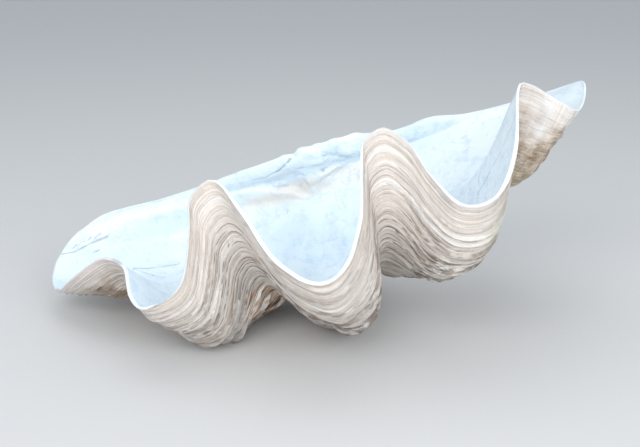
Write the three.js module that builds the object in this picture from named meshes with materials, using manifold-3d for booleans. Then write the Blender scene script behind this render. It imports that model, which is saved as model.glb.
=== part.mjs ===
// One valve (half shell) of a giant clam, lying on the outside of its ribs.
//
// Units are millimetres and +Z is up. The finished shell stands on z = 0, with
// +X along its length and the hinge edge at the back (+Y).
//
// A clam shell grows only at its edge, and each new edge is an enlarged, turned
// copy of the one before. So the whole outside follows from the finished edge
// line: scale s = 1 is the edge today, and s = 0 is the beak, where the shell
// began. The shell is drawn in its own frame first (x along the hinge, y towards
// the hinge from the belly, z out of the open side, origin at the hinge), and is
// then tipped into the pose in which it rests.
import * as THREE from "three";
import { mergeVertices } from "three/addons/utils/BufferGeometryUtils.js";
import Module from "manifold-3d";

// ---- The finished edge ------------------------------------------------------

// Each row is a point of the edge: [place, x, y, z, kind, thickness of the lip].
// The place runs once round the edge, 0 at the hinge, and grows towards the left
// end, the belly and the right end. Whole even numbers from 4 to 12 are the five
// ribs, and the odd ones between are the four grooves.
// Kinds: "back" has no folds, "rib" is a low point, "groove" is a high point,
// and "flank" is a point on the side of a fold.
const PLACES = 16;
const EDGE = [
  [0, 0, 0, 0, "back", 22],
  [1, -141, 0, -4, "back", 10],
  [2, -215, -15, 0, "back", 7],
  [3, -255, -45, -21, "back", 5],
  [4, -246, -92, -40, "rib", 3.5],
  [4.5, -220, -115, -27, "flank", 3.5],
  [5, -182, -138, -15, "groove", 3.5],
  [5.35, -162, -160, -23, "flank", 3.5],
  [5.65, -157, -188, -38, "flank", 3.5],
  [6.1, -139, -210, -47, "rib", 3.5],
  [6.4, -109, -214, -36, "flank", 3.5],
  [6.65, -92, -208, -3, "flank", 3.5],
  [6.85, -82, -202, 23, "flank", 3.5],
  [7, -67, -197, 30, "groove", 3.5],
  [7.35, -45, -220, -1, "flank", 3.5],
  [7.6, -32, -242, -30, "flank", 3.5],
  [7.85, -12, -256, -50, "rib", 3.5],
  [8.3, 19, -250, -46, "flank", 3.5],
  [8.6, 38, -232, -18, "flank", 3.5],
  [8.83, 48, -214, 11, "flank", 3.5],
  [8.92, 53, -208, 24, "flank", 3.5],
  [9.02, 66, -203, 29.5, "groove", 3.5],
  [9.2, 81, -206, 18, "flank", 3.5],
  [9.5, 92, -213, -11, "flank", 3.5],
  [10, 111, -228, -39, "rib", 3.5],
  [10.4, 139, -212, -39, "flank", 3.5],
  [10.7, 163, -178, -14, "flank", 3.5],
  [10.9, 178, -142, 13, "flank", 3.5],
  [11, 183, -134, 18.5, "groove", 3.5],
  [11.15, 191, -129, 14, "flank", 3.5],
  [11.5, 207, -117, -2, "flank", 3.5],
  [12, 224, -108, -21, "rib", 3.5],
  [12.5, 241, -70, -19, "flank", 3.5],
  [13, 249, -35, -11, "back", 5],
  [13.3, 240, -18, -14, "back", 6],
  [14, 186, 0, -16.5, "back", 8],
  [14.5, 140, 0, -12.5, "back", 10],
  [14.75, 116, 0, -7, "back", 12],
  [15, 88, 0, -9.5, "back", 15],
  [15.5, 42, 0, -1, "back", 19],
];

// ---- How it grew -------------------------------------------------------------

const BEAK = new THREE.Vector3(-15, 14, -22);
const COIL_RATE = 1.95; // radians of turn per unit of scale, at the edge
const COIL_BEND = 1.4; // how much faster it turned late than early
const LEAN_DEG = -3; // tilt of the turning axis from the hinge line

const EDGE_SHARE = 4; // power of s with which the old folds take today's shape
const FOLD_SHARPNESS = 2.8; // 1 is a plain wave; more makes narrow grooves
const FOLD_GROWTH = 0.4; // power of s with which the folds deepened
const YOUNG_LEVEL = 0.3; // level between ribs (0) and grooves (1) at the beak
const GROOVE_LEVEL = 0.7; // level that the regular grooves reach at the edge
const FOLDED_FROM = 4;
const FOLDED_TO = 12;

// Swellings of the outside, and hollows where the height is negative. The first
// one makes the middle rib rest level with its neighbour. They end at the lip.
const SWELLINGS = [
  { height: 10.5, scale: 0.52, width: 0.16, place: 8, spread: 0.9 },
  { height: -12, scale: 0.77, width: 0.11, place: 7.72, spread: 0.36 },
  { height: 7, scale: 0.8, width: 0.14, place: 8.6, spread: 0.22 },
  { height: -13, scale: 0.66, width: 0.13, place: 9.6, spread: 0.4 },
  { height: 10, scale: 0.87, width: 0.11, place: 10.35, spread: 0.36 },
  { height: 9, scale: 0.8, width: 0.1, place: 12, spread: 0.5 },
  { height: 4, scale: 0.84, width: 0.08, place: 6.1, spread: 0.24 },
  { height: -9, scale: 0.66, width: 0.08, place: 6.5, spread: 0.2 },
  { height: 5, scale: 0.6, width: 0.09, place: 6.92, spread: 0.3 },
];
const SWELLING_END = 0.06; // share of the scale over which they end at the lip
const SWELLING_FADE = 0.7;
const HOLLOW_INSIDE = 0.6; // share of a hollow by which the inside follows it

// ---- The inside ---------------------------------------------------------------

const WALL_DEEP = 13; // wall near the beak; the lip's own thickness is in EDGE
const WALL_POWER = 0.8;
const INNER_SMOOTHING = 1.5; // power of s with which the inside follows the folds
const BOWL_CENTRE = new THREE.Vector3(0, -100, 20);
const HINGE_REACH = 4.2; // places each side of the hinge with a level platform
const HINGE_BLEND = 1.4;
const CAP_SCALE = 0.3; // the hollow under the hinge is closed from this scale in
const CAP_POLE = new THREE.Vector3(-10, -12, -48);
const CAP_AXIS = new THREE.Vector3(0, -0.88, 0.47).normalize();
const CAP_ROUNDNESS = 1.2;

// ---- How it lies --------------------------------------------------------------

const ROLL_DEG = -18; // right end up
const PITCH_DEG = -4; // belly edge up
const HINGE_AT = new THREE.Vector3(-1, 124.3, 136); // hinge point once it lies

// ---- Mesh steps ---------------------------------------------------------------

const FRONT_STEP = 1 / 8;
const BACK_STEP = 1 / 4;
const OUTER_SCALES = [0.05, 0.1, 0.16, ...spread(0.22, 1, 18)];
const INNER_SCALES = [...spread(1, 0.86, 4), ...spread(0.8, CAP_SCALE, 8)];
const CAP_SHARES = [0.8, 0.55, 0.3];
const DIFFERENCE = 1e-3;

/** n evenly spaced numbers from a to b. */
function spread(a, b, n) {
  return Array.from({ length: n }, (_, i) => a + ((b - a) * i) / (n - 1));
}

/** Smooth step from 0 to 1 as x runs from 0 to 1. */
function smooth(x) {
  const t = Math.min(1, Math.max(0, x));
  return t * t * (3 - 2 * t);
}

/**
 * A closed smooth line through rows [place, ...values]. Between two rows it is
 * a cubic, and its slope at a row is the mean of the slopes to both
 * neighbours, each weighted by the distance to the other one.
 */
function closedLine(rows) {
  const n = rows.length;
  const width = rows[0].length - 1;
  const place = (i) => rows[((i % n) + n) % n][0] + PLACES * Math.floor(i / n);
  const value = (i, k) => rows[((i % n) + n) % n][k + 1];
  const slope = (i, k) => {
    const before = place(i) - place(i - 1);
    const after = place(i + 1) - place(i);
    const up = ((value(i + 1, k) - value(i, k)) / after) * before;
    const down = ((value(i, k) - value(i - 1, k)) / before) * after;
    return (up + down) / (before + after);
  };
  return (at) => {
    const q = ((at % PLACES) + PLACES) % PLACES;
    let i = n - 1;
    while (i > 0 && rows[i][0] > q) i -= 1;
    const gap = place(i + 1) - place(i);
    const t = (q - place(i)) / gap;
    const t2 = t * t;
    const t3 = t2 * t;
    return Array.from({ length: width }, (_, k) =>
      (2 * t3 - 3 * t2 + 1) * value(i, k) +
      (t3 - 2 * t2 + t) * gap * slope(i, k) +
      (3 * t2 - 2 * t3) * value(i + 1, k) +
      (t3 - t2) * gap * slope(i + 1, k));
  };
}

const position = (row) => row.slice(0, 4);
const edgeLine = closedLine(EDGE.map(position));
const ribLine = closedLine(
  EDGE.filter((row) => row[4] === "rib" || row[4] === "back").map(position));
const grooveLine = closedLine(
  EDGE.filter((row) => row[4] === "groove" || row[4] === "back").map(position));
const lipLine = closedLine(EDGE.map((row) => [row[0], row[5]]));

/** Angle by which growth has turned the edge since it had the scale s. */
function coilAngle(s) {
  return (COIL_RATE * (1 - s ** COIL_BEND)) / COIL_BEND;
}

const lean = THREE.MathUtils.degToRad(LEAN_DEG);
const COIL_AXIS = new THREE.Vector3(Math.cos(lean), 0, Math.sin(lean));

/** The regular fold wave: 0 on a rib, 1 in a groove, 0 where nothing folds. */
function foldWave(q) {
  const at = ((q % PLACES) + PLACES) % PLACES;
  if (at < FOLDED_FROM || at > FOLDED_TO) return 0;
  return ((1 - Math.cos(Math.PI * (at - FOLDED_FROM))) / 2) ** FOLD_SHARPNESS;
}

/** Level between the rib line (0) and the groove line (1). */
function foldLevel(s, q, isInner) {
  const depth = s ** FOLD_GROWTH;
  const outer = YOUNG_LEVEL + depth * (GROOVE_LEVEL * foldWave(q) - YOUNG_LEVEL);
  if (!isInner) return outer;
  const floor = YOUNG_LEVEL + depth * (GROOVE_LEVEL - YOUNG_LEVEL);
  return floor - s ** INNER_SMOOTHING * (floor - outer);
}

/**
 * The growth sheet: the edge line as it was at scale s. Its folds go from the
 * regular wave of the young shell to today's edge, and it is scaled by s and
 * turned by coilAngle(s) about the beak.
 */
function sheet(s, q, isInner) {
  const level = foldLevel(s, q, isInner);
  const [edge, rib, groove] = [edgeLine(q), ribLine(q), grooveLine(q)];
  const share = s ** EDGE_SHARE;
  const folded = [0, 1, 2].map((k) => {
    const regular = rib[k] + level * (groove[k] - rib[k]);
    return regular + share * (edge[k] - regular);
  });
  return new THREE.Vector3(...folded)
    .sub(BEAK)
    .applyAxisAngle(COIL_AXIS, coilAngle(s))
    .multiplyScalar(s)
    .add(BEAK);
}

/** Unit normal of the sheet, pointing into the bowl. */
function inward(s, q, isInner) {
  const d = DIFFERENCE;
  const along = sheet(s + d, q, isInner).sub(sheet(s - d, q, isInner));
  const round = sheet(s, q + d, isInner).sub(sheet(s, q - d, isInner));
  return along.cross(round).normalize();
}

/** Height of all swellings together: each one is a bell both ways. */
function swelling(s, q) {
  const bells = SWELLINGS.map(({ height, scale, width, place, spread: wide }) =>
    height * Math.exp(-(((s - scale) / width) ** 2) - ((q - place) / wide) ** 2));
  const end = Math.min(1, Math.max(0, (1 - s) / SWELLING_END)) ** SWELLING_FADE;
  return end * bells.reduce((sum, bell) => sum + bell, 0);
}

/** The outside: the sheet, with the swellings. They stand square to the smoothed sheet. */
function outside(s, q) {
  return sheet(s, q, false).addScaledVector(inward(s, q, true), -swelling(s, q));
}

/** Wall thickness: the lip's own at the edge, growing towards the beak. */
function wall(s, q) {
  const [lip] = lipLine(q);
  const deep = Math.max(WALL_DEEP, lip);
  return lip + (deep - lip) * (1 - s) ** WALL_POWER;
}

/**
 * The inside: the smoothed sheet moved into the bowl by the wall. Near the
 * hinge it moves towards the middle of the bowl instead, which leaves a level
 * platform along the hinge.
 */
function inside(s, q) {
  const point = sheet(s, q, true);
  const near = Math.abs(((((q + 8) % PLACES) + PLACES) % PLACES) - 8);
  const share = smooth((HINGE_REACH - near) / HINGE_BLEND);
  const middle = BOWL_CENTRE.clone().sub(point).normalize();
  const way = inward(s, q, true).lerp(middle, share).normalize();
  const hollow = HOLLOW_INSIDE * Math.max(0, -swelling(s, q));
  return point.addScaledVector(way, wall(s, q) + hollow);
}

/**
 * The deepest part of the hollow: a cubic from the pole (t = 0), where it is
 * square to the cap's axis, to the inside at CAP_SCALE (t = 1), where it takes
 * on the inside's own slope.
 */
function cap(t, q) {
  const d = DIFFERENCE;
  const reach = inside(CAP_SCALE, q).sub(CAP_POLE);
  const slope = inside(CAP_SCALE + d, q)
    .sub(inside(CAP_SCALE - d, q))
    .multiplyScalar(CAP_SCALE / (2 * d));
  const start = reach.clone()
    .addScaledVector(CAP_AXIS, -reach.dot(CAP_AXIS))
    .multiplyScalar(CAP_ROUNDNESS);
  const square = reach.clone().multiplyScalar(3).sub(slope).addScaledVector(start, -2);
  const cube = slope.clone().addScaledVector(reach, -2).add(start);
  return CAP_POLE.clone()
    .addScaledVector(start, t)
    .addScaledVector(square, t * t)
    .addScaledVector(cube, t * t * t);
}

/** Places round the edge at which the mesh has a vertex. */
function meshPlaces() {
  const steps = (from, to, step) =>
    Array.from({ length: Math.round((to - from) / step) }, (_, i) => from + i * step);
  return [...steps(3, 13, FRONT_STEP), ...steps(13, 19, BACK_STEP)];
}

/**
 * One closed surface from a first pole, through rings of equal length, to a
 * last pole, with its faces pointing out.
 */
function ringSurface(first, rings, last) {
  const n = rings[0].length;
  const points = [first, ...rings.flat(), last];
  const index = [];
  const at = (ring, i) => 1 + ring * n + (i % n);
  for (let i = 0; i < n; i += 1) {
    index.push(0, at(0, i + 1), at(0, i));
    index.push(at(rings.length - 1, i), at(rings.length - 1, i + 1), points.length - 1);
  }
  for (let ring = 0; ring + 1 < rings.length; ring += 1) {
    for (let i = 0; i < n; i += 1) {
      index.push(at(ring, i), at(ring, i + 1), at(ring + 1, i));
      index.push(at(ring, i + 1), at(ring + 1, i + 1), at(ring + 1, i));
    }
  }
  const geometry = new THREE.BufferGeometry().setFromPoints(points);
  geometry.setIndex(index);
  return geometry;
}

/** The valve in its own frame. */
function valveGeometry() {
  const places = meshPlaces();
  const rings = [
    ...OUTER_SCALES.map((s) => places.map((q) => outside(s, q))),
    ...INNER_SCALES.map((s) => places.map((q) => inside(s, q))),
    ...CAP_SHARES.map((t) => places.map((q) => cap(t, q))),
  ];
  return ringSurface(BEAK, rings, CAP_POLE);
}

/** Turn from the shell's own frame to the pose in which it lies. */
function lyingPose() {
  const roll = new THREE.Matrix4().makeRotationY(THREE.MathUtils.degToRad(ROLL_DEG));
  const pitch = new THREE.Matrix4().makeRotationX(THREE.MathUtils.degToRad(PITCH_DEG));
  return new THREE.Matrix4().makeTranslation(HINGE_AT).multiply(roll).multiply(pitch);
}

/** A geometry as a solid for cutting. */
function solidOf(wasm, geometry) {
  const bare = geometry.clone();
  bare.deleteAttribute("normal");
  bare.deleteAttribute("uv");
  const merged = mergeVertices(bare);
  return new wasm.Manifold(new wasm.Mesh({
    numProp: 3,
    vertProperties: new Float32Array(merged.attributes.position.array),
    triVerts: new Uint32Array(merged.index.array),
  }));
}

/** A solid as a geometry for a mesh. */
function geometryOf(solid) {
  const mesh = solid.getMesh();
  const geometry = new THREE.BufferGeometry();
  geometry.setAttribute("position", new THREE.BufferAttribute(mesh.vertProperties, 3));
  geometry.setIndex(new THREE.BufferAttribute(mesh.triVerts, 1));
  geometry.computeVertexNormals();
  return geometry;
}

const wasm = await Module();
wasm.setup();

// The ribs that carry the shell are worn flat where they rest, at z = 0.
const ground = new THREE.BoxGeometry(600, 400, 40).translate(0, 0, -20);
const lying = valveGeometry().applyMatrix4(lyingPose());
const worn = solidOf(wasm, lying).subtract(solidOf(wasm, ground));

const shellMaterial = new THREE.MeshStandardMaterial({
  color: 0xe6dcd4,
  roughness: 0.55,
  metalness: 0,
});
const valve = new THREE.Mesh(geometryOf(worn), shellMaterial);
valve.name = "clam_shell";

const clam = new THREE.Group();
clam.add(valve);

export default clam;
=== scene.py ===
# %% [markdown]
# # One half of a giant clam shell
#
# A giant clam lives hinge down on the reef, with two thick, deeply fluted valves. This lesson makes
# the looks of one valve, lying on the outside of its ribs with the smooth bowl up.
#
# The shape could be sculpted by hand, or cut out of blocks. Here it is grown, as the animal grows it:
# shell is only ever added at the edge, and every old edge is still there as a line on the outside. So
# one formula with two parameters gives the whole valve: `scale`, how big the clam was (0 at the beak,
# 1 today), and `place`, how far round the edge the point lies.

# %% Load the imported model
import math

import bpy
import numpy as np
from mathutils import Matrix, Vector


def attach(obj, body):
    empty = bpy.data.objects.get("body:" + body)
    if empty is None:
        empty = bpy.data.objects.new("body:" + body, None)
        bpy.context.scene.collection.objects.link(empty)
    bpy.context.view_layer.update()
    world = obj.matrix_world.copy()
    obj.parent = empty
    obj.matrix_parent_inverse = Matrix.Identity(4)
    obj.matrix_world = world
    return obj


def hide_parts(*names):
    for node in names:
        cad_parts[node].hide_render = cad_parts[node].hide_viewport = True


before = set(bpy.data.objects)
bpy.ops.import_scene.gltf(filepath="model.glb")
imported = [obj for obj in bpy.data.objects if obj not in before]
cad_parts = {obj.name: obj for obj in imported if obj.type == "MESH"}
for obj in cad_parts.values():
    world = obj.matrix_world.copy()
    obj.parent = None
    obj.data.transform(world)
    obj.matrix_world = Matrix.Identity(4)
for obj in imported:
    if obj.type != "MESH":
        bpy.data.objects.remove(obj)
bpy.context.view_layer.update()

MM = 0.001

# %% [markdown]
# ## The edge as it is today
#
# The wavy edge is given point by point, because no formula has its crooked folds. Most points were worked
# out from the real shell's outline as seen from the front, with the depth of each one judged. Each row is
# a place round the edge and a point in millimetres: x along the hinge, y from the belly towards the
# hinge, z out of the open side. Whole even places from 4 to 12 are the five ribs and the odd ones between
# are the four grooves.
#
# A spline object could hold the same points. Plain rows are used because the growth formula also
# needs the lines that join only the ribs, or only the grooves, and they come from the same rows.

# %% The edge line
PLACES = 16
EDGE = [  # place, x, y, z, kind, thickness of the lip
    (0, 0, 0, 0, "back", 22),
    (1, -141, 0, -4, "back", 10),
    (2, -215, -15, 0, "back", 7),
    (3, -255, -45, -21, "back", 5),
    (4, -246, -92, -40, "rib", 3.5),
    (4.5, -220, -115, -27, "flank", 3.5),
    (5, -182, -138, -15, "groove", 3.5),
    (5.35, -162, -160, -23, "flank", 3.5),
    (5.65, -157, -188, -38, "flank", 3.5),
    (6.1, -139, -210, -47, "rib", 3.5),
    (6.4, -109, -214, -36, "flank", 3.5),
    (6.65, -92, -208, -3, "flank", 3.5),
    (6.85, -82, -202, 23, "flank", 3.5),
    (7, -67, -197, 30, "groove", 3.5),
    (7.35, -45, -220, -1, "flank", 3.5),
    (7.6, -32, -242, -30, "flank", 3.5),
    (7.85, -12, -256, -50, "rib", 3.5),
    (8.3, 19, -250, -46, "flank", 3.5),
    (8.6, 38, -232, -18, "flank", 3.5),
    (8.83, 48, -214, 11, "flank", 3.5),
    (8.92, 53, -208, 24, "flank", 3.5),
    (9.02, 66, -203, 29.5, "groove", 3.5),
    (9.2, 81, -206, 18, "flank", 3.5),
    (9.5, 92, -213, -11, "flank", 3.5),
    (10, 111, -228, -39, "rib", 3.5),
    (10.4, 139, -212, -39, "flank", 3.5),
    (10.7, 163, -178, -14, "flank", 3.5),
    (10.9, 178, -142, 13, "flank", 3.5),
    (11, 183, -134, 18.5, "groove", 3.5),
    (11.15, 191, -129, 14, "flank", 3.5),
    (11.5, 207, -117, -2, "flank", 3.5),
    (12, 224, -108, -21, "rib", 3.5),
    (12.5, 241, -70, -19, "flank", 3.5),
    (13, 249, -35, -11, "back", 5),
    (13.3, 240, -18, -14, "back", 6),
    (14, 186, 0, -16.5, "back", 8),
    (14.5, 140, 0, -12.5, "back", 10),
    (14.75, 116, 0, -7, "back", 12),
    (15, 88, 0, -9.5, "back", 15),
    (15.5, 42, 0, -1, "back", 19),
]


def closed_line(rows):
    """A closed smooth line through rows of (place, values). Between two rows it is a cubic. Its slope
    at a row is the mean of the slopes to both neighbours, each weighted by the distance to the other."""
    rows = np.array(rows, float)
    places, values = rows[:, 0], rows[:, 1:]
    after = np.diff(np.append(places, places[0] + PLACES))
    before = np.roll(after, 1)
    rise = (np.roll(values, -1, 0) - values) / after[:, None]
    fall = np.roll(rise, 1, 0)
    slopes = (rise * before[:, None] + fall * after[:, None]) / (before + after)[:, None]

    def at(place):
        place = np.mod(place, PLACES)
        i = np.searchsorted(places, place, side="right") - 1
        j = (i + 1) % len(places)
        gap = after[i][..., None]
        t = (place - places[i])[..., None] / gap
        return (
            (2 * t**3 - 3 * t**2 + 1) * values[i]
            + (t**3 - 2 * t**2 + t) * gap * slopes[i]
            + (3 * t**2 - 2 * t**3) * values[j]
            + (t**3 - t**2) * gap * slopes[j]
        )

    return at


def edge_rows(*kinds):
    """The rows of these kinds, as (place, x, y, z)."""
    return [row[:4] for row in EDGE if row[4] in kinds]


edge_line = closed_line(edge_rows("back", "rib", "flank", "groove"))
rib_line = closed_line(edge_rows("back", "rib"))
groove_line = closed_line(edge_rows("back", "groove"))
lip_line = closed_line([(row[0], row[5]) for row in EDGE])
FINE_PLACES = np.linspace(0, PLACES, 6001)  # close enough together to measure along the edge
edge_length = np.linalg.norm(np.diff(edge_line(FINE_PLACES), axis=0), axis=1).sum()
print(f"the edge is {edge_length:.0f} mm long, once round")

# %% [markdown]
# ## Growth
#
# A younger clam had the same edge, only smaller and turned about the beak. That is a spiral, the same
# law that makes a snail. `sheet` is that law: it scales and turns the edge line.
#
# Young clams have plain, even folds, and the crooked ones of an old clam come late. So the folds go
# over from an even wave to today's edge as the scale reaches 1.

# %% The growth sheet
BEAK = np.array([-15.0, 14, -22])
COIL_RATE = 1.95  # radians of turn per unit of scale, at the edge
COIL_BEND = 1.4  # how much faster it turned late than early
LEAN = math.radians(-3)  # tilt of the turning axis from the hinge line
COIL_AXIS = np.array([math.cos(LEAN), 0, math.sin(LEAN)])
FIRST_FOLD, LAST_FOLD = 4, 12
FOLD_SHARPNESS = 2.8  # 1 is a plain wave; more makes narrow grooves
FOLD_GROWTH = 0.4  # power of the scale with which the folds deepened
YOUNG_LEVEL = 0.3  # level between ribs (0) and grooves (1) at the beak
GROOVE_LEVEL = 0.7  # level that the even grooves reach at the edge
EDGE_SHARE = 4  # power of the scale with which the folds take today's shape
INNER_SMOOTHING = 1.5  # power of the scale with which the inside follows the folds
DIFFERENCE = 1e-3


def smooth(x):
    """Smooth step from 0 to 1 as x runs from 0 to 1."""
    t = np.clip(x, 0, 1)
    return t * t * (3 - 2 * t)


def unit(vectors):
    """The vectors at length 1."""
    return vectors / np.linalg.norm(vectors, axis=-1, keepdims=True)


def turned(points, angle):
    """Points turned about COIL_AXIS (Rodrigues' formula: the part along the axis stays, the rest turns)."""
    angle = angle[..., None]
    along = COIL_AXIS * (points @ COIL_AXIS)[..., None]
    return along + (points - along) * np.cos(angle) + np.cross(COIL_AXIS, points) * np.sin(angle)


def fold_wave(place):
    """The even fold wave: 0 on a rib, 1 in a groove, 0 where nothing folds."""
    at = np.mod(place, PLACES)
    wave = ((1 - np.cos(np.pi * (at - FIRST_FOLD))) / 2) ** FOLD_SHARPNESS
    return np.where((at >= FIRST_FOLD) & (at <= LAST_FOLD), wave, 0)


def sheet(scale, place, inner=False):
    """The edge as it was at this scale: beak + scale * turn(edge of that age - beak).
    The inside follows the folds less and less towards the beak."""
    scale, place = np.broadcast_arrays(np.asarray(scale, float), np.asarray(place, float))
    depth = scale**FOLD_GROWTH
    level = YOUNG_LEVEL + depth * (GROOVE_LEVEL * fold_wave(place) - YOUNG_LEVEL)
    if inner:
        floor = YOUNG_LEVEL + depth * (GROOVE_LEVEL - YOUNG_LEVEL)
        level = floor - scale**INNER_SMOOTHING * (floor - level)
    ribs = rib_line(place)
    even = ribs + level[..., None] * (groove_line(place) - ribs)
    edge = even + (scale**EDGE_SHARE)[..., None] * (edge_line(place) - even)
    angle = COIL_RATE * (1 - scale**COIL_BEND) / COIL_BEND
    return BEAK + turned(edge - BEAK, angle) * scale[..., None]


def way_of_growth(scale, place, inner=False):
    """How the sheet moves as the scale grows, in mm per unit of scale."""
    more = sheet(scale + DIFFERENCE, place, inner)
    return (more - sheet(scale - DIFFERENCE, place, inner)) / (2 * DIFFERENCE)


def way_in(scale, place, inner=False):
    """Unit normal of the sheet, pointing into the bowl."""
    ahead = sheet(scale, place + DIFFERENCE, inner) - sheet(scale, place - DIFFERENCE, inner)
    return unit(np.cross(way_of_growth(scale, place, inner), ahead))


print("the belly edge is", round(np.linalg.norm(sheet(1.0, 8.0) - BEAK)), "mm from the beak")

# %% [markdown]
# ## Swellings
#
# A real shell strays from the growth law: a rib swells after a good year, or is drawn in where the clam
# sat against coral. Lattices or sculpting could push such places about, but would move the growth lines
# unevenly. So each stray is a soft bell on the two numbers of the sheet, and the layers bend with it.
# The same kind of bell also says where weed, flakes, ridges and scuffs are.

# %% Swellings and hollows
SWELLINGS = [  # height in mm (a hollow is negative), scale, width, place, spread
    (10.5, 0.52, 0.16, 8.0, 0.9),
    (-12, 0.77, 0.11, 7.72, 0.36),
    (7, 0.80, 0.14, 8.6, 0.22),
    (-13, 0.66, 0.13, 9.6, 0.4),
    (10, 0.87, 0.11, 10.35, 0.36),
    (9, 0.80, 0.10, 12.0, 0.5),
    (4, 0.84, 0.08, 6.1, 0.24),
    (-9, 0.66, 0.08, 6.5, 0.2),
    (5, 0.60, 0.09, 6.92, 0.3),
]
SWELLING_END, SWELLING_FADE = 0.06, 0.7  # they end at the lip


def bells(rows, scale, place):
    """The sum of bells: height * exp(-(scale distance / width)^2 - (place distance / spread)^2)."""
    scale, place = np.asarray(scale)[..., None], np.asarray(place)[..., None]
    height, middle, width, at, spread = np.transpose(rows)
    return (height * np.exp(-(((scale - middle) / width) ** 2) - ((place - at) / spread) ** 2)).sum(-1)


def swelling(scale, place):
    """Height in mm of all swellings together, which is 0 at the lip."""
    return bells(SWELLINGS, scale, place) * np.clip((1 - scale) / SWELLING_END, 0, 1) ** SWELLING_FADE


print("highest and deepest:", max(row[0] for row in SWELLINGS), min(row[0] for row in SWELLINGS), "mm")

# %% [markdown]
# ## Natural unevenness
#
# Nothing on a shell is quite even. A displacement modifier with a noise texture could roughen it, but
# it would push growth lines and smooth porcelain alike. A noise that is a plain function of position
# can be aimed: it is asked for where it is wanted, at the size that is wanted, and the same seed gives
# the same shell each time.

# %% Soft noise
LATTICE = 24


def soft_noise(points, size, seed):
    """Noise from -1 to 1 with lumps of about this size: random numbers on a cubic lattice, blended
    between the eight corners of a cell with smooth weights."""
    table = np.random.default_rng(seed).uniform(-1, 1, (LATTICE,) * 3)
    at = np.asarray(points, float) / size
    cell = np.floor(at).astype(int)
    share = smooth(at - cell)
    total = np.zeros(at.shape[:-1])
    for corner in np.ndindex(2, 2, 2):
        i, j, k = np.moveaxis((cell + corner) % LATTICE, -1, 0)
        weight = np.prod(np.where(corner, share, 1 - share), axis=-1)
        total += weight * table[i, j, k]
    return total


def rough_noise(points, size, seed, layers=3):
    """Several soft noises added up, each half the size and half the height of the one before."""
    return sum(soft_noise(points, size / 2**n, seed + n) / 2**n for n in range(layers))


print("noise at three points 5 mm apart:", soft_noise([[0, 0, 0], [5, 0, 0], [10, 0, 0]], 10, 1).round(2))

# %% [markdown]
# ## Where the mesh has its points
#
# A net of rows and columns is laid over the growth sheet. Columns run from the beak to the edge.
# They are spaced by true distance, and closer at the hinge, where small teeth have to show.

# %% Columns round the edge
COLUMNS = 352
WIDE_STEP, FINE_STEP = 4.3, 2.6  # mm between columns, at the belly and at the hinge
HINGE_FINE, FINE_BLEND = 1.6, 0.5  # places each side of the hinge with the fine step, and its blend


def from_hinge(place):
    """How many places a point is from the middle of the hinge, either way round."""
    return np.abs(np.mod(place + PLACES / 2, PLACES) - PLACES / 2)


def column_places():
    """Places spaced so that each step is an equal share of the edge, counted in local steps."""
    middle = (FINE_PLACES[1:] + FINE_PLACES[:-1]) / 2
    step = FINE_STEP + (WIDE_STEP - FINE_STEP) * smooth((from_hinge(middle) - HINGE_FINE) / FINE_BLEND)
    lengths = np.linalg.norm(np.diff(edge_line(FINE_PLACES), axis=0), axis=1) / step
    run = np.append(0, np.cumsum(lengths))
    return np.interp(np.arange(COLUMNS) * run[-1] / COLUMNS, run, FINE_PLACES)


PLACE = column_places()
EDGE_POINTS = edge_line(PLACE)
print(COLUMNS, "columns,", round(edge_length / COLUMNS, 1), "mm apart on average")

# %% [markdown]
# ## Growth layers
#
# A clam grows in spurts. After each pause the new shell starts from under the old edge, so the outside
# is shingled: it rises slowly along a layer to a thin edge, and drops to the start of the next.
#
# The rows of the net are laid along those edges. Each layer has three rows, at its low start, its
# middle and its top edge, so a step is crisp with few faces, where an even net would need ten times as
# many. The pauses wander a little from the pure growth law, more where the edge was chipped.

# %% When growth paused
PAUSE_SEED = 41
OLD_LAYERS, YOUNG_LAYERS = 16, 50
OLDEST, YOUNG_FROM = 0.2, 0.62  # scales between which the old layers and the young ones lie
LAYER_ROWS = (0.14, 0.56, 1.0)  # where the rows of a layer lie along it
LAYER_LIFT = (0.0, 0.62, 1.0)  # how far each has risen
UNEVEN = (0.45, 1.6)  # widths of layers, against their mean
BEAK_SCALES = (0.035, 0.07, 0.11, 0.15)  # plain rows below the oldest layer
AFTER_TODAY = 1.02  # scale at which growth would have paused next


def growth_pauses():
    """The scales at which growth paused, oldest first. The widths in between are random, and are
    stretched to fill their part of the shell."""
    rng = np.random.default_rng(PAUSE_SEED)
    ends = []
    for first, last, count in ((OLDEST, YOUNG_FROM, OLD_LAYERS), (YOUNG_FROM, 1, YOUNG_LAYERS)):
        run = np.cumsum(rng.uniform(*UNEVEN, count))
        ends.append(first + (last - first) * run / run[-1])
    return np.concatenate([[OLDEST], *ends])


PAUSES = growth_pauses()
print(len(PAUSES) - 1, "layers; the last ones are",
      np.round(np.diff(PAUSES)[-5:] * np.linalg.norm(way_of_growth(1.0, 8.0)), 1), "mm wide")


# %% How the pauses wander
APART = np.array([31.7, 57.3, 43.1])  # mm from one pause's noise to the next one's
LONG_WANDER, SHORT_WANDER, JAG = 0.30, 0.34, 0.3  # shares of the layer beside it
WANDER_LIMIT = 0.46  # share too; from 0.5 on two rows could cross
LEAST_ALONG, MOST_ALONG = 0.08, 1.7  # how much one step's height may fall and rise on its way
LEAST_STEP, STEP_SHARE, HIGHEST_STEP = 0.08, 0.27, 1.9  # mm; share of the layer's width; mm


def pause_noise(spread, size, seed):
    """Noise along each pause. The spread says how much one pause's noise differs from the next one's."""
    apart = np.arange(len(PAUSES))[:, None, None] * APART * spread
    return soft_noise(EDGE_POINTS[None] + apart, size, seed)


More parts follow.
